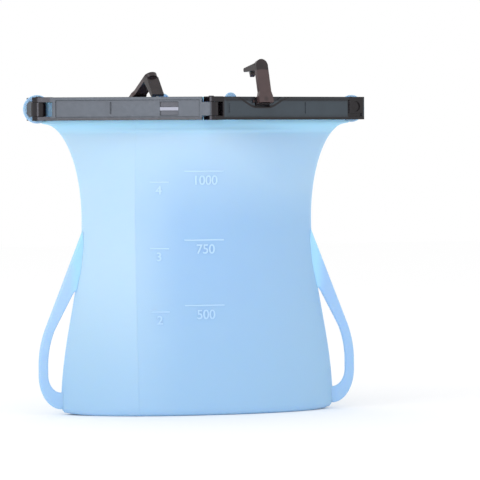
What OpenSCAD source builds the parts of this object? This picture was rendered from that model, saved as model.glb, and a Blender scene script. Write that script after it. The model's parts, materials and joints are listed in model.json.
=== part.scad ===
// Reusable silicone pouch with a folding four-bar closure frame and two flip-over latches.
// Millimetres, +Z up, base on z = 0. Bars are drawn shut along X, then turned to the open rest pose.

/* [Frame] */
// Distance between the two hinge pins of one bar
bar_length = 113; // [100:0.5:130]
// Distance of each pin plane from the middle plane of the shut frame
pin_offset = 5.5; // [4.5:0.1:7]
// Turn of every bar away from the shut pose
open_angle = 16.5; // [0:0.5:25]
// Height of the bars
bar_height = 15; // [12:0.5:20]
// Height of the underside of the bars above the floor
bar_base = 193; // [150:1:230]
// Outer face of a bar, measured from its pin plane
outer_face = 5.4; // [4.5:0.1:7]
// Inner face of a bar, measured from its pin plane
inner_face = 3.65; // [2.5:0.05:5]
// Depth of the tray in the outer face
tray_depth = 1; // [0.4:0.1:2]
// Width of the raised border around the tray
tray_border = 2; // [1:0.1:3]
// How far the tongued bars run past the outer pin
end_overrun = 0.6; // [0:0.1:4]

/* [Hinges] */
// Radius of a hinge pin
pin_radius = 1.5; // [1:0.1:2.5]
// Radial play around a pin
pin_play = 0.05; // [0.01:0.01:0.1]
// Radius of a hinge barrel
barrel_radius = 5.2; // [4:0.1:6]
// Lower end of a barrel above the underside of the bar
barrel_low = 2.65; // [2:0.05:4]
// Upper end of a barrel above the underside of the bar
barrel_high = 11.6; // [10:0.1:13]
// How far a clevis ear reaches past its pin
ear_reach = 3.6; // [2:0.1:5]
// Gap between ear and barrel
ear_gap = 0.15; // [0.1:0.05:0.5]

/* [Latches] */
// Front latch, distance from the front centre pin
front_latch_at = 36; // [20:0.5:60]
// Rear latch, distance from the rear centre pin
rear_latch_at = 31; // [20:0.5:60]
// Front latch, angle above its shut position
front_latch_open = 76; // [0:1:105]
// Rear latch, angle above its shut position
rear_latch_open = 33.5; // [0:0.5:105]
// Width of a latch hub along the bar
latch_width = 10.5; // [8:0.5:14]
// Width of a latch arm and its hook plate
arm_width = 8.8; // [7:0.2:12]
// Height of the latch pivot above the underside of the bar
pivot_height = 12; // [10:0.5:13]
// Depth of the latch pivot behind the outer face
pivot_depth = 2.1; // [1.5:0.1:3]
// Radius of the latch hub
hub_radius = 2.7; // [2:0.1:3]
// Radius of the latch trunnions
trunnion_radius = 1.2; // [0.8:0.1:1.6]
// Thickness of the latch arm
arm_thickness = 3; // [2:0.1:4]
// Length of the latch arm from the pivot to its rounded tip
arm_length = 27; // [24:0.5:32]
// Length of the hook plate under the arm
hook_length = 14.3; // [8:0.1:15]
// How far the tip of the hook plate spreads away from the bar
hook_spread = 2.5; // [0:0.1:4]
// Width of the nib on the hook plate
nib_width = 3.2; // [2:0.1:8]
// Width of a catch recess
catch_width = 11.8; // [8:0.1:14]
// Centre of the catch recess of the front left bar, from its centre pin
catch_left_at = 27.1; // [20:0.1:60]

/* [Bag] */
// Half width at the base
base_half_width = 92; // [80:0.5:100]
// Height of the straight lowest part of the sides
base_straight = 4; // [0:0.5:10]
// Half width at the waist
waist_half_width = 77.8; // [70:0.1:85]
// Height of the waist
waist_height = 128; // [100:1:150]
// How far each side of the mouth reaches beyond the waist
mouth_flare = 23.5; // [10:0.5:24]
// Half depth at the base
base_half_depth = 32.1; // [20:0.1:35]
// Half depth at the waist
waist_half_depth = 27.2; // [20:0.1:32]
// Half depth at the mouth
mouth_half_depth = 33; // [28:0.5:34]

/* [Straps] */
// Widest reach of a strap loop from the middle of the bag
loop_reach = 107; // [100:0.5:112]
// Width of a strap
strap_width = 6.3; // [4:0.1:9]
// Thickness of the handle straps
strap_thickness = 3.5; // [2:0.1:6]
// Lean of the straight upper part of a strap, outward as it goes down
strap_lean = 22; // [15:0.5:25]
// Height where the outer edge of a strap leaves the seam
strap_leave = 116; // [100:1:125]
// Height of the crotch between strap and seam
strap_crotch = 79.6; // [60:0.2:95]
// Height where the strap is upright, below its bend
strap_upright = 32; // [28:0.5:40]
// Height of the bend above that
strap_bend = 26; // [20:0.5:32]
// Height of the centre of the rounded foot of a strap
foot_centre = 26; // [20:0.5:28]
// Height of the underside of the foot
foot_low = 3.4; // [2:0.1:6]
// Height of the foot itself, where it joins the seam
foot_height = 11; // [6:0.5:14]

/* [Silicone] */
// Wall thickness
wall = 1.6; // [1:0.1:3]
// Top edge of the walls
wall_top = 192.5; // [150:0.5:200]
// Radius of the end discs
disc_radius = 9.3; // [7:0.1:12]
// Thickness of the end discs
disc_thickness = 1.4; // [1:0.1:3]
// Radius of the small tabs above the bars
tab_radius = 4.4; // [3:0.1:6]
// Distance of a tab from its centre pin
tab_at = 17; // [10:0.5:30]
// Height of a tab above the bars
tab_rise = 2.6; // [1:0.1:6]
// Thickness of the base panel
base_thickness = 1.6; // [1:0.1:3]

/* [Hidden] */
silicone = [0.62, 0.82, 0.95];
smoky = [0.2, 0.2, 0.24];
steel = [0.5, 0.5, 0.55];
$fn = 40;

bore_radius = pin_radius + pin_play;
ear_radius = outer_face - 0.05;
body_end = ear_radius + 0.3;
window_start = 9.6;
strip_outer = inner_face + 0.05;
strip_inner = pin_offset - 0.2;
strip_end = disc_radius + 0.9;
pivot_y = pivot_depth - outer_face;
notch_half = latch_width / 2 + 0.35;
notch_floor = 8.3;
arm_low = hub_radius + 0.6;
hook_reach = 2 * (pin_offset + outer_face) - pivot_depth + 0.3;
catch_right_at = front_latch_at;
// Pins of the open frame in plan, half a turn apart in pairs
outer_pin = [-bar_length * cos(open_angle) + pin_offset * sin(open_angle),
             -pin_offset * cos(open_angle)];
centre_pin = outer_pin + bar_length * [cos(open_angle), -sin(open_angle)];

// ---------- shape of the bag ----------

// The sides ease from the base in to the waist, then flare to the mouth along a quarter ellipse
flare_height = wall_top - waist_height - 2.5;
function ease(t) = (1 + cos(180 * min(1, max(0, t)))) / 2;
function flare(t) = 1 - sqrt(1 - pow(min(1, t), 2));
function half_width(z) = waist_half_width + (z < waist_height
  ? (base_half_width - waist_half_width) * ease((z - base_straight) / (waist_height - base_straight))
  : mouth_flare * flare((z - waist_height) / flare_height));

// The front and rear walls are fullest at the base and open to a plain V at the mouth
function rise(z) = pow(max(0, z - waist_height) / (wall_top - waist_height), 2);
function half_depth(z) = waist_half_depth
  + (base_half_depth - waist_half_depth) * (1 - sin(90 * min(1, z / waist_height)))
  + (mouth_half_depth - waist_half_depth) * rise(z);
function fullness(z) = 2 + 0.3 * max(0, 1 - z / 50) - 0.95 * rise(z);

// Rows of the walls, closer together as the flare turns outward: height, half width, half depth, fullness
lower_rows = 8;
upper_rows = 9;
heights = concat(
  [base_thickness + 0.05],
  [for (i = [1:lower_rows - 1]) waist_height * i / lower_rows],
  [for (i = [0:upper_rows]) waist_height + (wall_top - waist_height) * sin(90 * i / upper_rows)]);
sections = [for (z = heights) [z, half_width(z), half_depth(z), fullness(z)]];

// ---------- shared shapes ----------

module bar_block(x0, x1, z0 = 0, z1 = bar_height) {
  translate([x0, -outer_face, z0]) cube([x1 - x0, outer_face + inner_face, z1 - z0]);
}

// Pair of clevis ears around a pin at the origin, growing to +x
module ears(run) {
  for (z = [[-0.15, barrel_low - ear_gap], [barrel_high + ear_gap, bar_height + 0.15]])
    intersection() {
      bar_block(-ear_reach, run, z[0], z[1]);
      union() {
        translate([0, 0, z[0]]) cylinder(r = ear_radius, h = z[1] - z[0]);
        translate([0, -10, z[0]]) cube([run + 1, 20, z[1] - z[0]]);
      }
    }
}

module bore() translate([0, 0, -1]) cylinder(r = bore_radius, h = bar_height + 2);

module barrel() translate([0, 0, barrel_low]) cylinder(r = barrel_radius, h = barrel_high - barrel_low);

module tray(x0, x1)
  translate([x0, -outer_face - 1, tray_border])
    cube([x1 - x0, 1 + tray_depth, bar_height - 2 * tray_border]);

// Two recesses with a ledge between them; the nib of a shut latch sits in the lower one
module catch_recess(x) {
  translate([x - catch_width / 2, -outer_face - 1, 3]) cube([catch_width, 3.2, 3]);
  translate([x - catch_width / 2, -outer_face - 1, 8.4]) cube([catch_width, 3.2, 3.4]);
}

// Seat of a latch in the outer top edge: hub slot, trunnion holes and the shallow curved cut
module latch_seat(x) {
  translate([x - notch_half, -outer_face - 1, notch_floor])
    cube([2 * notch_half, 1 + pivot_depth + hub_radius + 0.35, bar_height]);
  translate([x - notch_half - 2, pivot_y, pivot_height])
    rotate([0, 90, 0]) cylinder(r = trunnion_radius + pin_play, h = 2 * notch_half + 4, $fn = 24);
  translate([x, 1.3 - outer_face, 0]) rotate([90, 0, 0]) linear_extrude(3)
    polygon([[-19, 15.5], [-13, 13.8], [-9, 11.4], [-6.5, 9], [-5, notch_floor],
             [5, notch_floor], [6.5, 9.4], [9, 11.8], [13, 14.2], [17, 15.5]]);
}

module mark(x, w, z0, z1)
  translate([x - w / 2, -outer_face + tray_depth - 0.2, z0]) cube([w, 0.8, z1 - z0]);

// Bar with a clevis at its outer pin (origin) and a barrel at its centre pin
module clevis_bar(catch_at) {
  color(smoky) difference() {
    union() {
      bar_block(window_start, bar_length - body_end);
      bar_block(bar_length - body_end - 0.1, bar_length - 0.4, barrel_low, barrel_high);
      translate([bar_length, 0, 0]) barrel();
      ears(window_start + 0.1);
    }
    bore();
    translate([bar_length, 0, 0]) bore();
    tray(window_start + 2.4, bar_length - body_end - 1.8);
    catch_recess(bar_length - catch_at);
    mark(47.8, 0.7, 4, 11.5);
  }
}

// Bar with a clevis at its centre pin (origin) and a tongue at its outer pin
module tongue_bar(latch_at) {
  far = bar_length + end_overrun;
  color(smoky) difference() {
    union() {
      difference() {
        union() {
          bar_block(body_end, far);
          ears(body_end + 0.1);
        }
        tray(body_end + 2.9, far - 1.8);
        latch_seat(latch_at);
        mark(68.5, 0.7, 4, 11.5);
        mark(10.8, 1.2, 4.5, 10.5);
      }
      difference() {
        translate([bar_length - 10.8, -outer_face, 4.2]) cube([9.6, 3, 9]);
        translate([bar_length - 6, -outer_face - 1, 8.7]) rotate([-90, 0, 0]) cylinder(r = 3.4, h = 3);
      }
      translate([bar_length - 3.6, 0, barrel_low])
        cube([7.2 + end_overrun - 3.6, 2 * pin_offset, barrel_high - barrel_low]);
      translate([bar_length, 2 * pin_offset, 0]) barrel();
    }
    bore();
    translate([bar_length, 2 * pin_offset, 0]) bore();
  }
}

// Hinge pin with a low head at each end, axis at the origin
module hinge_pin()
  color(steel) {
    translate([0, 0, -0.15]) cylinder(r = pin_radius, h = bar_height + 0.3);
    translate([0, 0, bar_height + 0.15]) cylinder(r1 = pin_radius + 0.5, r2 = pin_radius, h = 0.5);
  }

// Rolled silicone rim strip along the inner face of a bar
module rim_strip(x0, x1, tab)
  color(silicone) {
    translate([x0, strip_outer, 0.2]) cube([x1 - x0, strip_inner - strip_outer, bar_height - 0.5]);
    if (tab > 0)
      translate([tab, strip_inner, bar_height - 0.4]) rotate([90, 0, 0])
        linear_extrude(strip_inner - strip_outer) intersection() {
          translate([0, tab_rise - tab_radius + 0.4]) circle(tab_radius);
          translate([-tab_radius, 0]) square([2 * tab_radius, 2 * tab_radius]);
        }
  }

// Eyelet disc around the tongue, standing on the middle plane; origin on the outer pin
module end_disc()
  color(silicone)
    translate([0, pin_offset + disc_thickness / 2, bar_height / 2 - 0.1]) rotate([90, 0, 0])
      linear_extrude(disc_thickness) difference() {
        circle(disc_radius, $fn = 56);
        offset(1.2) square([11, 7.8], center = true);
      }

// Latch in its own plane, shut: arm along +y over the bars, hook plate down, nib towards the bar
module latch_shut() {
  tip = arm_low - hook_length;
  color(smoky) union() {
    translate([-latch_width / 2, 0, 0]) rotate([0, 90, 0]) cylinder(r = hub_radius, h = latch_width);
    translate([-latch_width / 2 - 1.6, 0, 0]) rotate([0, 90, 0])
      cylinder(r = trunnion_radius, h = latch_width + 3.2, $fn = 24);
    translate([-latch_width / 2, -2, 0]) cube([latch_width, 4.2, arm_low + 0.5]);
    translate([0, 0, arm_low]) linear_extrude(arm_thickness) {
      polygon([[-latch_width / 2, -2.2], [latch_width / 2, -2.2], [latch_width / 2, 2.2],
               [arm_width / 2, 5], [arm_width / 2, arm_length - arm_width / 2],
               [-arm_width / 2, arm_length - arm_width / 2], [-arm_width / 2, 5],
               [-latch_width / 2, 2.2]]);
      translate([0, arm_length - arm_width / 2]) circle(arm_width / 2);
    }
    translate([-arm_width / 2, 0, 0]) rotate([90, 0, 90]) linear_extrude(arm_width)
      polygon([[hook_reach, arm_low + 0.5], [hook_reach, arm_low - 1], [hook_reach + hook_spread, tip + 0.6],
               [hook_reach + hook_spread + 0.7, tip], [hook_reach + hook_spread + 1.9, tip],
               [hook_reach + hook_spread + 2.6, tip + 0.7], [arm_length - 2.3, arm_low - 1],
               [arm_length - 2.3, arm_low + 0.5]]);
    translate([-nib_width / 2, 0, 0]) rotate([90, 0, 90]) linear_extrude(nib_width)
      polygon([[hook_reach + 2, -8.7], [hook_reach - 1.4, -8.3], [hook_reach - 0.4, -6.5],
               [hook_reach + 1.8, -6.1]]);
  }
}

module latch(latch_at, angle)
  translate([latch_at, pivot_y, pivot_height]) rotate([angle, 0, 0]) latch_shut();

// ---------- placing ----------

module on_front_left() translate([outer_pin[0], outer_pin[1], bar_base]) rotate(-open_angle) children();
module on_front_right() translate([centre_pin[0], centre_pin[1], bar_base]) rotate(open_angle) children();
module half_turn() rotate(180) children();

// ---------- silicone below the bars ----------

function lens(u, full) = pow(1 - pow(abs(u), full), full > 1.5 ? 1 : 1.05);
function across(j, n) = sin(90 * (2 * j / n - 1));

// One wall: rows of points up the height, outer skin then inner skin
module bag_wall() {
  n = 26;
  m = len(sections);
  skin = [for (face = [0, 1]) for (s = sections) for (j = [0:n])
    [s[1] * across(j, n),
     -(face == 0 ? wall : 0.05) - (s[2] - wall) * lens(across(j, n), s[3]), s[0]]];
  w = n + 1;
  q = m * w;
  faces = concat(
    [for (i = [0:m - 2]) for (j = [0:n - 1]) [i * w + j, (i + 1) * w + j, (i + 1) * w + j + 1, i * w + j + 1]],
    [for (i = [0:m - 2]) for (j = [0:n - 1])
      [q + i * w + j, q + i * w + j + 1, q + (i + 1) * w + j + 1, q + (i + 1) * w + j]],
    [for (j = [0:n - 1]) [j, j + 1, q + j + 1, q + j]],
    [for (j = [0:n - 1], k = (m - 1) * w) [k + j, q + k + j, q + k + j + 1, k + j + 1]],
    [for (i = [0:m - 2]) [i * w, q + i * w, q + (i + 1) * w, (i + 1) * w]],
    [for (i = [0:m - 2]) [i * w + n, (i + 1) * w + n, q + (i + 1) * w + n, q + i * w + n]]);
  color(silicone) polyhedron(skin, faces, convexity = 6);
}

module bag_front_wall() bag_wall();
module bag_rear_wall() half_turn() bag_wall();

module bag_base() {
  n = 40;
  rim = sections[0];
  color(silicone) linear_extrude(base_thickness)
    polygon([for (j = [0:n]) [rim[1] * across(j, n), -wall - (rim[2] - wall) * lens(across(j, n), rim[3])],
             for (j = [0:n]) [-rim[1] * across(j, n), wall + (rim[2] - wall) * lens(across(j, n), rim[3])]]);
}

function arc(centre, radii, from, to, n) =
  [for (i = [0:n]) let (a = from + (to - from) * i / n) centre + [radii[0] * cos(a), radii[1] * sin(a)]];

// Strap loop on a side seam, in the plane of the seam: a straight leaning run, a bend of bend_radius
// down to upright, and a rounded foot that goes back to the base
module handle() {
  seam_gap = 0.3;
  foot_x = base_half_width + 0.2;
  bend_radius = strap_bend / sin(strap_lean);
  bend = [loop_reach - bend_radius, strap_upright];
  foot = [foot_x, foot_centre];
  round_out = [loop_reach - foot_x, foot_centre - foot_low];
  round_in = round_out - [strap_width, foot_height];
  inner_bend = bend_radius - strap_width;
  outer_edge = concat([[half_width(strap_leave) + 0.5, strap_leave]],
    arc(bend, [bend_radius, bend_radius], strap_lean, 0, 6), arc(foot, round_out, 0, -90, 12));
  inner_edge = concat(arc(foot, round_in, -90, 0, 8), arc(bend, [inner_bend, inner_bend], 0, strap_lean, 6));
  seam_heights = [strap_crotch, (strap_crotch + strap_leave) / 2, strap_leave - 3];
  seam_edge = [for (z = seam_heights) [half_width(z) + seam_gap, z]];
  color(silicone) translate([0, strap_thickness / 2, 0]) rotate([90, 0, 0])
    linear_extrude(strap_thickness) polygon(concat(outer_edge, inner_edge, seam_edge));
}

module right_handle() handle();
module left_handle() half_turn() handle();

// ---------- frame ----------

module left_end_disc() translate([outer_pin[0], -pin_offset, bar_base]) end_disc();
module right_end_disc() half_turn() left_end_disc();
module left_outer_pin() on_front_left() hinge_pin();
module right_outer_pin() half_turn() on_front_left() hinge_pin();
module front_centre_pin() on_front_right() hinge_pin();
module rear_centre_pin() half_turn() on_front_right() hinge_pin();

module front_left_bar() on_front_left() clevis_bar(catch_left_at);
module rear_right_bar() half_turn() on_front_left() clevis_bar(catch_right_at);
module front_right_bar() on_front_right() tongue_bar(front_latch_at);
module rear_left_bar() half_turn() on_front_right() tongue_bar(rear_latch_at);

module front_left_rim() on_front_left() rim_strip(strip_end, bar_length - body_end - 1, 0);
module rear_right_rim() half_turn() on_front_left() rim_strip(strip_end, bar_length - body_end - 1, 0);
module front_right_rim() on_front_right() rim_strip(body_end + 1, bar_length - strip_end, tab_at);
module rear_left_rim() half_turn() on_front_right() rim_strip(body_end + 1, bar_length - strip_end, tab_at);

module front_latch() on_front_right() latch(front_latch_at, front_latch_open);
module rear_latch() half_turn() on_front_right() latch(rear_latch_at, rear_latch_open);

// ---------- nodes ----------

bag_front_wall();
bag_rear_wall();
bag_base();
left_handle();
right_handle();
left_end_disc();
left_outer_pin();
right_end_disc();
right_outer_pin();
front_left_bar();
front_left_rim();
front_centre_pin();
front_right_bar();
front_right_rim();
rear_right_bar();
rear_right_rim();
rear_centre_pin();
rear_left_bar();
rear_left_rim();
front_latch();
rear_latch();
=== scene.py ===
import bpy, bmesh, json, math
import numpy as np
from mathutils import Matrix, Vector


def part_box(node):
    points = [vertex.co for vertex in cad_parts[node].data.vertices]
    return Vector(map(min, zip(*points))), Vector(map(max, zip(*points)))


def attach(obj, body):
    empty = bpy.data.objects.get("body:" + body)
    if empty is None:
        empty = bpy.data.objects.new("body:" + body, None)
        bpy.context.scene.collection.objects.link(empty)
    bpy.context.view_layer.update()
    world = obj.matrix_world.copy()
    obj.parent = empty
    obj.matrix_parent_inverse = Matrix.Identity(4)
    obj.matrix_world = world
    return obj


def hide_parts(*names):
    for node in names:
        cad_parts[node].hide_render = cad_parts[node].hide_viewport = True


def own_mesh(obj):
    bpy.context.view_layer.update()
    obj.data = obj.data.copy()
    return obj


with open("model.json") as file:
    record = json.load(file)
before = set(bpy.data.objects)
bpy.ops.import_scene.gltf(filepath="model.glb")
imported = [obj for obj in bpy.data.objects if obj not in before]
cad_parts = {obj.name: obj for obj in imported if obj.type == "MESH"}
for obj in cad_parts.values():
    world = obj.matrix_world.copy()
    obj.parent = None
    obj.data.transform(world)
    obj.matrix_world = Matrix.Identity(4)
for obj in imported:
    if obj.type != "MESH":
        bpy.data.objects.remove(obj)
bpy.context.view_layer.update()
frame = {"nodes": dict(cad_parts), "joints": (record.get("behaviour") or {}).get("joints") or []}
scene = bpy.context.scene
scene.view_settings.view_transform = "Standard"

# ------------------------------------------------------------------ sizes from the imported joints, in metres
JOINT = {j["name"]: j for j in frame["joints"]}
P1 = Vector(JOINT["frame_fold"]["pos_m"][:2])          # left outer pin, in plan
P2 = Vector(JOINT["front_centre_fold"]["pos_m"][:2])   # front centre pin
OPEN = math.radians(JOINT["frame_fold"]["range_deg"][1])
BAR_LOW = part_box("front_left_bar")[0].z + 0.00015
BAR_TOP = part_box("front_left_bar")[1].z - 0.00015
# distances along a bar from its pin: latch seats (front, rear), start of the barrel, catch recess
LATCH_SEATS = (0.036, 0.031)
BARREL_FROM = 0.1128
RECESS_FROM, RECESS_TO = 0.0798, 0.0919


# ------------------------------------------------------------------ camera
CAMERA_AZIMUTH, CAMERA_DISTANCE, CAMERA_HEIGHT = -12.31, 2.0, 0.1827
CAMERA_TURN, CAMERA_PITCH, CAMERA_ROLL = -0.808, 1.983, -0.284
CAMERA_LENS = 226.5


def make_camera():
    """Stands a little left of the front, at bar height, aimed back by small turns about its own axes."""
    az, dist, height = math.radians(CAMERA_AZIMUTH), CAMERA_DISTANCE, CAMERA_HEIGHT
    turn, pitch, roll = (math.radians(a) for a in (CAMERA_TURN, CAMERA_PITCH, CAMERA_ROLL))
    at = Vector((math.sin(az) * dist, -math.cos(az) * dist, height))
    back = Vector((math.sin(az + turn) * math.cos(pitch), -math.cos(az + turn) * math.cos(pitch),
                   math.sin(pitch)))
    right = (-back).cross(Vector((0, 0, 1))).normalized()
    up = right.cross(-back)
    r = right * math.cos(roll) + up * math.sin(roll)
    u = up * math.cos(roll) - right * math.sin(roll)
    cam = bpy.data.objects.new("camera", bpy.data.cameras.new("camera"))
    cam.matrix_world = Matrix(((r.x, u.x, back.x, at.x), (r.y, u.y, back.y, at.y),
                               (r.z, u.z, back.z, at.z), (0, 0, 0, 1)))
    cam.data.lens, cam.data.sensor_width = CAMERA_LENS, 36
    cam.data.clip_start, cam.data.clip_end = 0.05, 30
    scene.collection.objects.link(cam)
    scene.camera = cam


# ------------------------------------------------------------------ materials
def srgb(r, g, b):
    """A colour typed as 0 to 255 display values, as the linear values that nodes take."""
    def linear(c):
        return c / 12.92 if c <= 0.04045 else ((c + 0.055) / 1.055) ** 2.4
    return (linear(r / 255), linear(g / 255), linear(b / 255), 1)


class Tree:
    """Small helper around one material's node tree."""

    def __init__(self, name):
        self.mat = bpy.data.materials.new(name)
        self.mat.use_nodes = True
        self.nodes, self.links = self.mat.node_tree.nodes, self.mat.node_tree.links
        self.shader = self.nodes["Principled BSDF"]

    def add(self, kind, **values):
        n = self.nodes.new(kind)
        for k, v in values.items():
            if k in n.inputs:
                n.inputs[k].default_value = v
            else:
                setattr(n, k, v)
        return n

    def link(self, a, b):
        self.links.new(a, b)

    def math(self, op, a, b=0.0, c=0.0, clamp=False):
        n = self.nodes.new("ShaderNodeMath")
        n.operation, n.use_clamp = op, clamp
        for i, v in enumerate((a, b, c)):
            if isinstance(v, (int, float)):
                n.inputs[i].default_value = v
            else:
                self.link(v, n.inputs[i])
        return n.outputs[0]

    def smooth(self, value, lo, hi, to_lo=0.0, to_hi=1.0):
        n = self.nodes.new("ShaderNodeMapRange")
        n.interpolation_type = "SMOOTHSTEP"
        self.link(value, n.inputs[0])
        for i, v in enumerate((lo, hi, to_lo, to_hi)):
            n.inputs[i + 1].default_value = v
        return n.outputs[0]

    def mix(self, fac, a, b):
        n = self.nodes.new("ShaderNodeMix")
        n.data_type = "RGBA"
        if isinstance(fac, (int, float)):
            n.inputs[0].default_value = fac
        else:
            self.link(fac, n.inputs[0])
        for i, v in ((6, a), (7, b)):
            if isinstance(v, tuple):
                n.inputs[i].default_value = v
            else:
                self.link(v, n.inputs[i])
        return n.outputs[2]

    def bump(self, height, strength, distance, normal=None):
        n = self.add("ShaderNodeBump", Strength=strength, Distance=distance)
        self.link(height, n.inputs["Height"])
        if normal:
            self.link(normal, n.inputs["Normal"])
        return n.outputs[0]


def silicone(name, window=False):
    """Pale sky-blue silicone: frosted skin, faint clouding, a deeper tint in the window, painted shade lower
    down and to the right, and, on the wall, painted light in a brighter cyan under the bars.
    """
    t = Tree(name)
    s = t.shader
    obj = t.add("ShaderNodeTexCoord").outputs["Object"]
    xyz = t.add("ShaderNodeSeparateXYZ")
    t.link(obj, xyz.inputs[0])
    x, y, z = xyz.outputs
    pale, mid = srgb(180, 211, 238), srgb(153, 191, 230)
    low_shade_tone, clear = srgb(154, 192, 226), srgb(165, 216, 248)
    cloud = t.add("ShaderNodeTexNoise", Scale=22.0, Detail=3.0, Roughness=0.55)
    t.link(obj, cloud.inputs["Vector"])
    drift = t.math("MULTIPLY_ADD", cloud.outputs["Fac"], 0.5, -0.25)
    if window:
        # the step at the window's edge is its deeper tint; the ramp on towards the middle and the darker
        # right side are painted shade, as from light on the left
        step = t.math("MULTIPLY", t.smooth(x, -0.0462, -0.0448), 0.42)
        ramp_shade = t.math("MULTIPLY", t.smooth(x, -0.048, -0.012), 0.58)
        high = t.smooth(z, 0.186, 0.118)
        front = t.math("ADD", t.smooth(y, 0.0, -0.004), t.smooth(x, 0.0, 0.06, 0.0, 0.6), clamp=True)
        right = t.smooth(x, 0.0, 0.055)
        inside = t.math("MULTIPLY", t.math("ADD", step, ramp_shade), high)
        shade = t.math("MULTIPLY", t.math("MAXIMUM", inside, t.math("MULTIPLY", right, 0.55)), front)
    else:
        # painted shade: darker towards the right, as from light on the left
        shade = t.smooth(x, -0.06, 0.06, 0.28, 0.85)
    tone = t.mix(t.math("ADD", shade, t.math("MULTIPLY", drift, 0.35), clamp=True), pale, mid)
    # painted shade: darker towards the bottom
    low = t.smooth(z, 0.105, 0.0, 0.0, 0.9)
    tone = t.mix(low, tone, low_shade_tone)
    if window:
        # painted light: a brighter, clearer cyan on the wall just under the bars, where they shade it,
        # standing in for light through the thin silicone
        thin = t.smooth(z, 0.180, 0.191, 0.0, 0.9)
    else:
        # the same brighter cyan above 84 mm, within 80 mm of the middle
        beside = t.smooth(t.math("ABSOLUTE", x), 0.088, 0.080)
        thin = t.math("MULTIPLY", t.smooth(z, 0.074, 0.084), beside, clamp=True)
    t.link(t.mix(thin, tone, clear), s.inputs["Base Color"])
    s.inputs["Roughness"].default_value = 0.45
    s.inputs["Specular IOR Level"].default_value = 0.35
    s.inputs["Subsurface Weight"].default_value = 0.3
    s.inputs["Subsurface Radius"].default_value = (0.35, 0.6, 1.0)
    s.inputs["Subsurface Scale"].default_value = 0.004
    grain = t.add("ShaderNodeTexNoise", Scale=900.0, Detail=2.0)
    t.link(obj, grain.inputs["Vector"])
    soft = t.add("ShaderNodeTexNoise", Scale=38.0, Detail=2.0)
    t.link(obj, soft.inputs["Vector"])
    height = soft.outputs["Fac"]
    if window:
        edge = t.math("MULTIPLY", t.smooth(x, -0.0456, -0.0448), front)
        height = t.math("MULTIPLY_ADD", edge, -0.5, height)
    n1 = t.bump(height, 0.25, 0.0016)
    n2 = t.bump(grain.outputs["Fac"], 0.12, 0.0002, n1)
    t.link(n2, s.inputs["Normal"])
    return t.mat


def raised_print():
    """Raised marks of the same silicone, a touch paler than the wall they stand on."""
    t = Tree("silicone_marks")
    obj = t.add("ShaderNodeTexCoord").outputs["Object"]
    xyz = t.add("ShaderNodeSeparateXYZ")
    t.link(obj, xyz.inputs[0])
    cloud = t.add("ShaderNodeTexNoise", Scale=160.0, Detail=2.0)
    t.link(obj, cloud.inputs["Vector"])
    # darker lower down: painted shade, as on the wall
    tone = t.mix(t.smooth(xyz.outputs[2], 0.05, 0.165), srgb(178, 212, 243), srgb(194, 224, 248))
    clouded = t.mix(t.math("MULTIPLY", cloud.outputs["Fac"], 0.3), tone, srgb(176, 208, 238))
    t.link(clouded, t.shader.inputs["Base Color"])
    t.shader.inputs["Roughness"].default_value = 0.5
    t.shader.inputs["Specular IOR Level"].default_value = 0.3
    return t.mat


def along_bar(t, x, y, pin, turn):
    """Distance along a bar from its pin; the bar half a turn away counts from its own pin in the same way."""
    side = t.math("MULTIPLY", t.math("SIGN", y), -1.0)
    dx = t.math("SUBTRACT", t.math("MULTIPLY", x, side), pin.x)
    dy = t.math("SUBTRACT", t.math("MULTIPLY", y, side), pin.y)
    return t.math("ADD", t.math("MULTIPLY", dx, math.cos(turn)), t.math("MULTIPLY", dy, math.sin(turn)))


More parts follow.
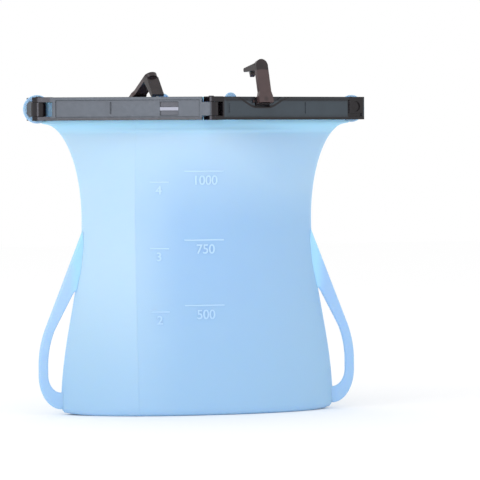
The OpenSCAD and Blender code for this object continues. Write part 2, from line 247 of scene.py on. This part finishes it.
def smoky(name, face, thick_and_shade, rough, dark_spots=(), clevis=False, seats=None):
    """Smoky translucent moulded plastic, darker around the hinges where it is thicker, with painted shade
    along its edges, in the cut under each latch and in the catch recess, a painted highlight on the recess
    ledge, and a painted shadow of each tongue's root behind the bar's face.
    """
    t = Tree(name)
    s = t.shader
    obj = t.add("ShaderNodeTexCoord").outputs["Object"]
    xyz = t.add("ShaderNodeSeparateXYZ")
    t.link(obj, xyz.inputs[0])
    x, y, z = xyz.outputs
    # painted shade along the bottom edge, where the bar meets the bag
    dark = t.smooth(z, BAR_LOW + 0.0022, BAR_LOW + 0.001)
    # painted shade in a band below the top edge of the tongue bars and the pins
    if not clevis:
        dark = t.math("MAXIMUM", dark, t.smooth(z, BAR_TOP - 0.0034, BAR_TOP - 0.0022, 0.0, 0.6))
    # darker around the hinges where the plastic is thicker; the spots at the tongue roots are a painted
    # shadow
    for pin, reach in dark_spots:
        dx, dy = t.math("SUBTRACT", x, pin.x), t.math("SUBTRACT", y, pin.y)
        away = t.math("SQRT", t.math("ADD", t.math("MULTIPLY", dx, dx), t.math("MULTIPLY", dy, dy)))
        dark = t.math("MAXIMUM", dark, t.smooth(away, reach + 0.0004, reach - 0.0004, 0.0, 0.9))
    cloud = t.add("ShaderNodeTexNoise", Scale=60.0, Detail=4.0)
    t.link(obj, cloud.inputs["Vector"])
    if seats:
        # painted shade: a dark line in the shallow curved cut under each latch, low at its hub and higher to
        # both sides
        u = along_bar(t, x, y, P2, OPEN)
        seat = t.math("MULTIPLY_ADD", t.math("GREATER_THAN", y, 0.0), seats[1] - seats[0], seats[0])
        du = t.math("ABSOLUTE", t.math("SUBTRACT", u, seat))
        curve = t.smooth(du, 0.0045, 0.021, BAR_LOW + 0.0082, BAR_LOW + 0.0148)
        band = t.smooth(t.math("ABSOLUTE", t.math("SUBTRACT", z, curve)), 0.0010, 0.0005)
        dark = t.math("MAXIMUM", dark, t.math("MULTIPLY", band, t.smooth(du, 0.0225, 0.021, 0.0, 0.85)))
    if clevis:
        u = along_bar(t, x, y, P1, -OPEN)
        dark = t.math("MAXIMUM", dark, t.smooth(u, BARREL_FROM, BARREL_FROM + 0.0006))
    fac = t.math("ADD", dark, t.math("MULTIPLY_ADD", cloud.outputs["Fac"], 0.5, -0.15), clamp=True)
    colour = t.mix(fac, face, thick_and_shade)
    if clevis:
        # the front bar's catch recess: painted shade above and below, a painted highlight on the ledge
        # between
        inside = t.math("MULTIPLY", t.smooth(u, RECESS_FROM, RECESS_FROM + 0.0003),
                        t.smooth(u, RECESS_TO, RECESS_TO - 0.0003))
        inside = t.math("MULTIPLY", inside, t.math("LESS_THAN", y, 0.0))
        for z0, z1, tint, share in ((0.003, 0.006, srgb(52, 54, 62), 0.6),
                                    (0.0084, 0.0118, srgb(38, 38, 44), 0.9),
                                    (0.006, 0.0084, srgb(168, 170, 184), 0.75)):
            band = t.math("MULTIPLY", t.smooth(z, BAR_LOW + z0, BAR_LOW + z0 + 0.0002),
                          t.smooth(z, BAR_LOW + z1, BAR_LOW + z1 - 0.0002))
            colour = t.mix(t.math("MULTIPLY", t.math("MULTIPLY", inside, band), share), colour, tint)
    t.link(colour, s.inputs["Base Color"])
    wear = t.add("ShaderNodeTexNoise", Scale=420.0, Detail=5.0, Roughness=0.7)
    t.link(obj, wear.inputs["Vector"])
    t.link(t.math("MULTIPLY_ADD", wear.outputs["Fac"], 0.16, rough - 0.08), s.inputs["Roughness"])
    s.inputs["Specular IOR Level"].default_value = 0.42
    s.inputs["IOR"].default_value = 1.49
    edge = t.add("ShaderNodeBevel", Radius=0.00045)
    edge.samples = 4
    t.link(t.bump(wear.outputs["Fac"], 0.08, 0.0002, edge.outputs[0]), s.inputs["Normal"])
    return t.mat


def latch_plastic():
    """The same smoky plastic, brownish where the arm is thin, darker at the hub and the head."""
    t = Tree("smoky_latch")
    s = t.shader
    obj = t.add("ShaderNodeTexCoord").outputs["Object"]
    near = None
    for joint in ("front_latch_flip", "rear_latch_flip"):
        d = t.add("ShaderNodeVectorMath")
        d.operation = "DISTANCE"
        t.link(obj, d.inputs[0])
        d.inputs[1].default_value = JOINT[joint]["pos_m"]
        near = d.outputs["Value"] if near is None else t.math("MINIMUM", near, d.outputs["Value"])
    dark = t.math("MAXIMUM", t.smooth(near, 0.0068, 0.0058), t.smooth(near, 0.0205, 0.0212, 0.0, 0.75))
    cloud = t.add("ShaderNodeTexNoise", Scale=240.0, Detail=3.0)
    t.link(obj, cloud.inputs["Vector"])
    fac = t.math("ADD", dark, t.math("MULTIPLY_ADD", cloud.outputs["Fac"], 0.5, -0.2), clamp=True)
    t.link(t.mix(fac, srgb(74, 58, 58), srgb(24, 18, 21)), s.inputs["Base Color"])
    t.link(t.math("MULTIPLY_ADD", cloud.outputs["Fac"], 0.1, 0.14), s.inputs["Roughness"])
    s.inputs["Specular IOR Level"].default_value = 0.45
    edge = t.add("ShaderNodeBevel", Radius=0.0005)
    edge.samples = 4
    t.link(t.bump(cloud.outputs["Fac"], 0.06, 0.0002, edge.outputs[0]), s.inputs["Normal"])
    return t.mat


def plain_floor():
    t = Tree("floor_paint")
    t.shader.inputs["Base Color"].default_value = (0.985, 0.985, 0.985, 1)
    t.shader.inputs["Roughness"].default_value = 0.9
    t.shader.inputs["Specular IOR Level"].default_value = 0.0
    return t.mat


# ------------------------------------------------------------------ mesh helpers
def mesh_object(name, verts, faces, material):
    me = bpy.data.meshes.new(name)
    me.from_pydata([tuple(v) for v in verts], [], faces)
    me.validate()
    bm = bmesh.new()
    bm.from_mesh(me)
    bmesh.ops.recalc_face_normals(bm, faces=bm.faces)
    bm.to_mesh(me)
    bm.free()
    me.polygons.foreach_set("use_smooth", [True] * len(me.polygons))
    me.materials.append(material)
    ob = bpy.data.objects.new(name, me)
    scene.collection.objects.link(ob)
    return ob


# ------------------------------------------------------------------ the bag's shape (millimetres)
# the sides ease from the base in to the waist, then flare to the mouth along a quarter ellipse, as in the CAD
BASE_HALF, WAIST_HALF, WAIST_Z = 92.2, 77.8, 128.0
BASE_STRAIGHT = 4.0                                    # height of the straight lowest part of the sides
FLARE, FLARE_HEIGHT = 25.4, 63.0
BASE_DEPTH, WAIST_DEPTH, MOUTH_DEPTH = 32.0, 27.2, 32.3
RIM_Z, RIM_HALF, BAG_TOP = 191.0, 103.0, 207.6
LIP, LIP_ROUND = 1.7, 1.1                              # reach of the lip under the bars, and how thick it is
TUCK_ROUND = 1.6                                       # rounding of the bottom edge, up the side
SIDE_TUCK, FACE_TUCK = 2.2, 2.0                        # and inward, at the sides and at the faces
TILT = math.tan(OPEN)


def half_width(z):
    """Half width of the bag at a height, with the lip that shows under the bars."""
    z = np.asarray(z, float)
    ease = (1 + np.cos(math.pi * np.clip((z - BASE_STRAIGHT) / (WAIST_Z - BASE_STRAIGHT), 0, 1))) / 2
    flare = 1 - np.sqrt(1 - np.clip((z - WAIST_Z) / FLARE_HEIGHT, 0, 1) ** 2)
    side = WAIST_HALF + (BASE_HALF - WAIST_HALF) * ease + FLARE * flare - SIDE_TUCK * np.exp(-z / TUCK_ROUND)
    return np.minimum(side, RIM_HALF) + LIP * np.exp(-((z - RIM_Z - 0.5) / LIP_ROUND) ** 2)


def lens_shape(z):
    """Half depth, fullness (1 is a plain V) and roundness of the side seam at a height."""
    z = np.asarray(z, float)
    rise = np.clip((z - WAIST_Z) / (RIM_Z - WAIST_Z), 0, 1) ** 2
    depth = (WAIST_DEPTH + (BASE_DEPTH - WAIST_DEPTH) * (1 - np.sin(math.pi / 2 * np.clip(z / WAIST_Z, 0, 1)))
             + (MOUTH_DEPTH - WAIST_DEPTH) * rise - FACE_TUCK * np.exp(-z / TUCK_ROUND))
    return depth, 2 + 0.35 * np.clip(1 - z / 50, 0, 1) - rise, 0.8 + 0.2 * np.clip(z / 185, 0, 1)


def rim_depth(x):
    """Depth of the rim line that the bars clip to, rounded behind the centre hinge."""
    return 32.75 - TILT * np.sqrt(np.asarray(x, float) ** 2 + 36)


def wall_depth(u, z):
    """Outer half depth of the bag at share u of its half width, and the half width itself."""
    a, (b, full, rnd) = half_width(z), lens_shape(z)
    u = np.asarray(u, float)
    lens = b * np.power(np.clip(1 - np.power(np.abs(u), full), 0, 1), rnd)
    rim = np.clip(rim_depth(u * a), 0, None) * np.clip((1 - np.abs(u)) * 40, 0, 1)
    k = np.clip((z - 184.0) / 8.0, 0, 1)
    k = k * k * (3 - 2 * k)
    return lens * (1 - k) + rim * k, a


def sag(x, z):
    """How far the soft wall lies inside its ideal surface, all in metres: hollows, slack and the rim bead."""
    hollow = 0.0011 * np.sin(np.clip((z - 0.135) / 0.055, 0, 1) * math.pi) * np.cos(x * 62 + 0.6)
    slack = 0.0007 * np.sin(x * 55 + z * 31) * np.sin(np.clip(z / 0.18, 0, 1) * math.pi)
    bead = 0.0004 * np.exp(-((z - 0.1862) / 0.0009) ** 2)
    return hollow + slack - bead


def front_y(x_mm, z_mm):
    """Front surface of the bag (negative Y) at a place on its face, in millimetres."""
    _, a = wall_depth(0.0, z_mm)
    d, _ = wall_depth(np.asarray(x_mm, float) / a, z_mm)
    return -d + 1000 * sag(x_mm / 1000, z_mm / 1000)


def make_shell(material):
    n, wall = 96, 1.3
    us = np.sin(np.linspace(-math.pi / 2, math.pi / 2, n + 1))
    heights = np.concatenate([np.linspace(0, 12, 9)[:-1], np.linspace(12, 178, 70)[:-1],
                              np.linspace(178, 194, 22)[:-1], np.linspace(194, BAG_TOP, 9)])
    rows = []

    def ring(z, shrink=1.0, lift=0.0, inset=0.0):
        mid, a = wall_depth(0.0, z)
        kx, ky = shrink * (a - inset) / a, shrink * (mid - inset) / mid
        return [(kx * a * u, ky * side * wall_depth(u, z)[0], z + lift)
                for side in (-1, 1) for u in (us if side < 0 else us[::-1])[:-1]]

    for s, lift in ((0.03, 3.2), (0.2, 3.2), (0.4, 3.0), (0.6, 2.4), (0.75, 1.5), (0.86, 0.6), (0.94, 0.05)):
        rows.append(ring(0.0, s, lift))
    rows += [ring(z) for z in heights]
    rows.append(ring(BAG_TOP, lift=0.35, inset=wall / 2))
    rows += [ring(z, inset=wall) for z in heights[::-1] if z > 2]
    for s, lift in ((0.94, 2.3), (0.8, 2.9), (0.6, 3.8), (0.3, 4.5), (0.03, 4.6)):
        rows.append(ring(0.0, s, lift, wall))
    w = len(rows[0])
    verts = np.array([p for r in rows for p in r]) / 1000.0
    x, y, z = verts.T
    y -= np.sign(y) * sag(x, z) * np.clip(np.abs(y) / 0.02, 0, 1)
    z += 0.0016 * np.clip((np.abs(x) - 0.07) / 0.022, 0, 1) ** 2 * np.clip(1 - z / 0.02, 0, 1)
    verts = np.stack([x, y, z], 1)
    faces = [(i * w + j, i * w + (j + 1) % w, (i + 1) * w + (j + 1) % w, (i + 1) * w + j)
             for i in range(len(rows) - 1) for j in range(w)]
    faces += [tuple(range(w - 1, -1, -1)), tuple(range(len(verts) - w, len(verts)))]
    return mesh_object("bag_shell", verts, faces, material)


def outline_piece(name, loops, thickness, bevel, material):
    """A flat moulded piece from closed outlines in the XZ plane (mm), with rounded edges."""
    cu = bpy.data.curves.new(name, "CURVE")
    cu.dimensions, cu.fill_mode = "2D", "BOTH"
    cu.extrude, cu.bevel_depth, cu.bevel_resolution = thickness / 2 - bevel, bevel, 4
    for pts in loops:
        sp = cu.splines.new("POLY")
        sp.points.add(len(pts) - 1)
        for p, q in zip(sp.points, pts):
            p.co = (q[0] / 1000, q[1] / 1000, 0, 1)
        sp.use_cyclic_u = True
    cu.offset = -bevel
    ob = bpy.data.objects.new(name + "_curve", cu)
    scene.collection.objects.link(ob)
    dg = bpy.context.evaluated_depsgraph_get()
    me = bpy.data.meshes.new_from_object(ob.evaluated_get(dg))
    bpy.data.objects.remove(ob)
    me.transform(Matrix.Rotation(math.radians(90), 4, "X"))
    me.name = name
    me.materials.clear()
    me.materials.append(material)
    bm = bmesh.new()
    bm.from_mesh(me)
    bmesh.ops.remove_doubles(bm, verts=bm.verts, dist=1e-6)
    bm.to_mesh(me)
    bm.free()
    me.polygons.foreach_set("use_smooth", [True] * len(me.polygons))
    piece = bpy.data.objects.new(name, me)
    scene.collection.objects.link(piece)
    split = piece.modifiers.new("edges", "EDGE_SPLIT")
    split.split_angle = math.radians(50)
    return piece


# ------------------------------------------------------------------ strap handles
STRAP_REACH, STRAP_WIDTH, STRAP_LEAN = 107.0, 6.3, 22.0
BEND_Z, BEND_RADIUS = 32.0, 69.4
FOOT_X, FOOT_Z, FOOT_LOW, FOOT_HEIGHT = 92.0, 26.0, 3.5, 11.0


def arc(cx, cz, rx, rz, a0, a1, n):
    steps = [math.radians(a0 + (a1 - a0) * i / n) for i in range(n + 1)]
    return [(cx + rx * math.cos(a), cz + rz * math.sin(a)) for a in steps]


def make_handle(name, side, material):
    """A straight run leaning out of the side seam, a bend down to upright, and a foot back to the base."""
    bend_x, inner = STRAP_REACH - BEND_RADIUS, BEND_RADIUS - STRAP_WIDTH
    out_x, out_z = STRAP_REACH - FOOT_X, FOOT_Z - FOOT_LOW
    root = [(77.2, 121.0)]
    crotch = [(84.0, 78.8), (82.8, 80.6), (81.4, 80.8), (77.5, 97.0), (76.0, 112.0)]
    pts = (root + arc(bend_x, BEND_Z, BEND_RADIUS, BEND_RADIUS, STRAP_LEAN, 0, 16)
           + arc(FOOT_X, FOOT_Z, out_x, out_z, 0, -90, 24) + [(89.5, FOOT_LOW + 3), (89.5, 14.0)]
           + arc(FOOT_X, FOOT_Z, out_x - STRAP_WIDTH, out_z - FOOT_HEIGHT, -90, 0, 16)
           + arc(bend_x, BEND_Z, inner, inner, 0, STRAP_LEAN, 12) + crotch)
    return outline_piece(name, [[(side * x, z) for x, z in pts]], 0.0034, 0.0013, material)


# ------------------------------------------------------------------ end discs and tabs
def circle_points(cx, cz, r, n=48, a0=0.0, a1=360.0):
    return arc(cx, cz, r, r, a0, a1, n)[:-1]


def rounded_box(cx, cz, w, h, r, n=8):
    pts = []
    for sx, sz, a in ((1, 1, 0), (-1, 1, 90), (-1, -1, 180), (1, -1, 270)):
        for i in range(n + 1):
            t = math.radians(a + 90 * i / n)
            pts.append((cx + sx * (w / 2 - r) + r * math.cos(t), cz + sz * (h / 2 - r) + r * math.sin(t)))
    return pts


def make_disc(name, side, body, node, material):
    lo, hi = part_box(node)
    c, r = (lo + hi) / 2 * 1000, (hi.x - lo.x) / 2 * 1000
    if side > 0:
        c.x -= 0.9
        r -= 0.3
    disc = outline_piece(name, [circle_points(0, 0, r), rounded_box(0, 0, 13.4, 10.2, 1.6)],
                         0.0014, 0.0005, material)
    ring = bpy.data.meshes.new(name + "_ring")
    bm = bmesh.new()
    seg, tube = 64, 12
    ridge, bulge = 7.9, 0.62
    round_tube = [2 * math.pi * k / tube for k in range(tube)]
    vs = [[bm.verts.new(((ridge + bulge * math.cos(b)) * math.cos(a) / 1000,
                         bulge * math.sin(b) * 1.35 / 1000,
                         (ridge + bulge * math.cos(b)) * math.sin(a) / 1000)) for b in round_tube]
          for a in [2 * math.pi * k / seg for k in range(seg)]]
    for i in range(seg):
        for j in range(tube):
            nxt, up = (i + 1) % seg, (j + 1) % tube
            bm.faces.new((vs[i][j], vs[nxt][j], vs[nxt][up], vs[i][up]))
    bm.to_mesh(ring)
    bm.free()
    ring.polygons.foreach_set("use_smooth", [True] * len(ring.polygons))
    ring.materials.append(material)
    bead = bpy.data.objects.new(name + "_ridge", ring)
    scene.collection.objects.link(bead)
    for ob in (disc, bead):
        ob.matrix_world = Matrix.Translation(c / 1000)
        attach(ob, body)
    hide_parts(node)


def make_tab(name, side, body, material):
    """Half-round silicone tab on a rim strip, standing above its bar."""
    outline = [(-4.6, 0.0)] + circle_points(0, 13.4, 4.5, 24, 175, 5) + [(4.6, 0.0)]
    tab = outline_piece(name, [outline], 0.0015, 0.0006, material)
    turn = OPEN + (math.pi if side < 0 else 0)
    at = Matrix.Translation((side * P2.x, side * P2.y, BAR_LOW)) @ Matrix.Rotation(turn, 4, "Z")
    tab.matrix_world = at @ Matrix.Translation((0.017, 0.0045, 0))
    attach(tab, body)


# ------------------------------------------------------------------ graduation marks
def on_front(ob, x_mm, z_mm, raise_mm=0.25):
    """Lays a flat mesh (drawn in X and Y, metres) on the bag's front face around a place."""
    for v in ob.data.vertices:
        x, z = x_mm + v.co.x * 1000, z_mm + v.co.y * 1000
        v.co = (x / 1000, (float(front_y(x, z)) - raise_mm - v.co.z * 1000) / 1000, z / 1000)
    ob.data.update()


# the columns of marks: top line, step down, line from and to, middle of the numbers, their drop below the
# line, their size and text; the steps shrink a little downward because the bag is wider there
MARK_CREEP = 2.2
MARK_COLUMNS = ((159.5, 47.2, -14.6, 11.8, -0.6, 8.8, 8.6, ("1000", "750", "500")),
                (152.5, 45.7, -36.6, -24.4, -30.8, 8.0, 8.0, ("4", "3", "2")))


def make_line(x0, x1):
    n = 24
    verts, faces = [], []
    for i in range(n + 1):
        x = (x0 + (x1 - x0) * i / n) / 1000
        for k, (dz, up) in enumerate(((-0.5, -0.3), (-0.32, 0.12), (0.32, 0.12), (0.5, -0.3))):
            verts.append((x, dz / 1000, up / 1000))
    for i in range(n):
        for k in range(3):
            faces.append((i * 4 + k, (i + 1) * 4 + k, (i + 1) * 4 + k + 1, i * 4 + k + 1))
    return verts, faces


def make_number(text, x, z, size, material):
    cu = bpy.data.curves.new("digits", "FONT")
    cu.body, cu.size, cu.align_x, cu.space_character = text, size / 1000, "CENTER", 0.96
    cu.extrude, cu.bevel_depth, cu.bevel_resolution = 0.00022, 0.0001, 1
    curve = bpy.data.objects.new("digits_curve", cu)
    scene.collection.objects.link(curve)
    me = bpy.data.meshes.new_from_object(curve.evaluated_get(bpy.context.evaluated_depsgraph_get()))
    bpy.data.objects.remove(curve)
    me.materials.clear()
    me.materials.append(material)
    number = bpy.data.objects.new("mark_digits", me)
    scene.collection.objects.link(number)
    on_front(number, x, z)
    return number


def make_marks(material):
    parts = []
    for top, step, x0, x1, at, drop, size, numbers in MARK_COLUMNS:
        for k, number in enumerate(numbers):
            z = top - step * k + MARK_CREEP * k * (k + 1) / 2
            verts, faces = make_line(x0, x1)
            line = mesh_object("mark_line", verts, faces, material)
            on_front(line, 0, z)
            parts += [line, make_number(number, at, z - drop, size, material)]
    bpy.ops.object.select_all(action="DESELECT")
    for o in parts:
        o.select_set(True)
    bpy.context.view_layer.objects.active = parts[0]
    bpy.ops.object.join()
    marks = parts[0]
    marks.name = marks.data.name = "graduation_marks"
    return marks


# ------------------------------------------------------------------ build
make_camera()
body_mat = silicone("silicone_bag", window=True)
strap_mat = silicone("silicone_strap")
mark_mat = raised_print()

shell = make_shell(body_mat)
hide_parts("bag_front_wall", "bag_rear_wall", "bag_base", "front_left_rim", "front_right_rim",
            "rear_left_rim", "rear_right_rim")
marks = make_marks(mark_mat)
for ob in (shell, marks):
    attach(ob, "bag")
    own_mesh(ob)

for name, side, node in (("strap_left", -1, "left_handle"), ("strap_right", 1, "right_handle")):
    strap = make_handle(name, side, strap_mat)
    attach(strap, "bag")
    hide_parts(node)

make_disc("eyelet_left", -1, "left_end", "left_end_disc", strap_mat)
make_disc("eyelet_right", 1, "right_end", "right_end_disc", strap_mat)
make_tab("tab_front", 1, "front_right", strap_mat)
make_tab("tab_rear", -1, "rear_left", strap_mat)

P3, P4 = -P1, -P2
# where the tongue's root lies behind the tongue bar's face near its outer end: a painted shadow goes there
TONGUE_ROOT_SHADOW = P2 + Matrix.Rotation(OPEN, 2) @ Vector((0.1070, -0.0054))
face, thick_and_shade = srgb(58, 68, 76), srgb(22, 17, 21)
clevis_mat = smoky("smoky_clevis_bar", face, thick_and_shade, 0.24, ((P1, 0.0098), (P3, 0.0098)), clevis=True)
tongue_spots = ((P2, 0.0086), (P4, 0.0086), (TONGUE_ROOT_SHADOW, 0.0058), (-TONGUE_ROOT_SHADOW, 0.0058), (P1, 0.0075), (P3, 0.0075))
tongue_mat = smoky("smoky_tongue_bar", face, thick_and_shade, 0.24, tongue_spots, seats=LATCH_SEATS)
latch_mat = latch_plastic()
pin_mat = smoky("smoky_pin", srgb(60, 58, 64), srgb(44, 42, 48), 0.3)
MATERIALS = {"front_left_bar": clevis_mat, "rear_right_bar": clevis_mat, "front_right_bar": tongue_mat,
             "rear_left_bar": tongue_mat, "front_latch": latch_mat, "rear_latch": latch_mat}
for node, ob in frame["nodes"].items():
    ob.data.materials.clear()
    ob.data.materials.append(MATERIALS.get(node, pin_mat))

# ------------------------------------------------------------------ stage and lights
bpy.ops.mesh.primitive_plane_add(size=6, location=(0, 0, -0.0002))
floor = bpy.context.object
floor.name = "floor"
floor.data.materials.append(plain_floor())

world = bpy.data.worlds.new("studio")
world.use_nodes = True
world.node_tree.nodes["Background"].inputs[0].default_value = (1, 1, 1, 1)
world.node_tree.nodes["Background"].inputs[1].default_value = 1.0
scene.world = world


def softbox(name, az, el, dist, size, power, tint=(1, 1, 1)):
    a, e = math.radians(az), math.radians(el)
    away = Vector((math.sin(a) * math.cos(e), -math.cos(a) * math.cos(e), math.sin(e)))
    light = bpy.data.lights.new(name, "AREA")
    light.shape, light.size, light.size_y = "RECTANGLE", size[0], size[1]
    light.energy, light.color = power, tint
    ob = bpy.data.objects.new(name, light)
    ob.location = Vector((0, 0, 0.12)) + away * dist
    ob.rotation_mode = "QUATERNION"
    ob.rotation_quaternion = away.to_track_quat("Z", "Y")
    scene.collection.objects.link(ob)


softbox("front_glare", -20.5, 2, 2.6, (0.8, 0.8), 14, (0.84, 0.86, 1.0))
softbox("key_left", -62, 38, 1.8, (1.0, 1.0), 4)
